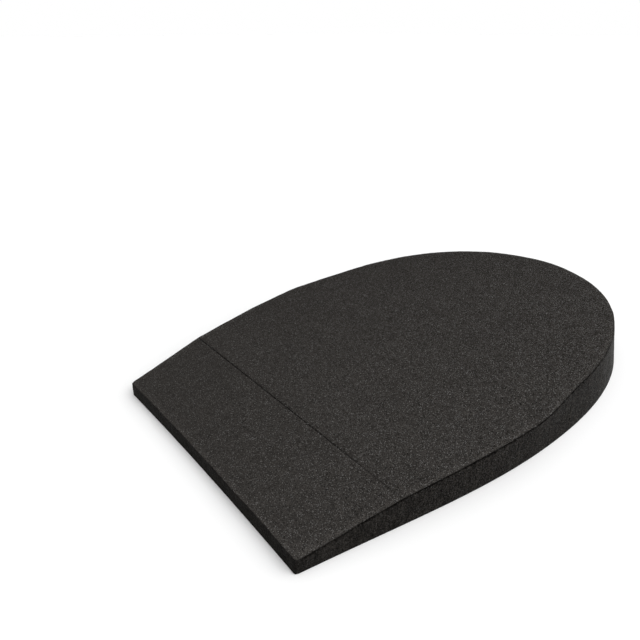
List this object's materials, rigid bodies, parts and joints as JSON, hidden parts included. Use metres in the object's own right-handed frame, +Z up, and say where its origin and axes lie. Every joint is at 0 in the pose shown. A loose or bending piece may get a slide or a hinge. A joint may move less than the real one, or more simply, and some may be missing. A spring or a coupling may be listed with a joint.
{
  "type": "heel lift",
  "caption": "Wedge of dark closed-cell foam that raises the heel in a shoe, with a straight thin front edge, a front taper, a rounded thick heel and a flat underside.",
  "frame": {"origin": "on the flat underside, at the middle of the lift's length and width", "axes": "+Y from the thin front edge to the thick heel, +X across, +Z up out of the top face"},
  "size_m": [0.064, 0.0999, 0.009],
  "materials": {
    "foam": "matt charcoal closed-cell foam with a fine open grain where it is cut and skived"
  },
  "bodies": {
    "root": {"foam_wedge": "foam"}
  },
  "joints": []
}
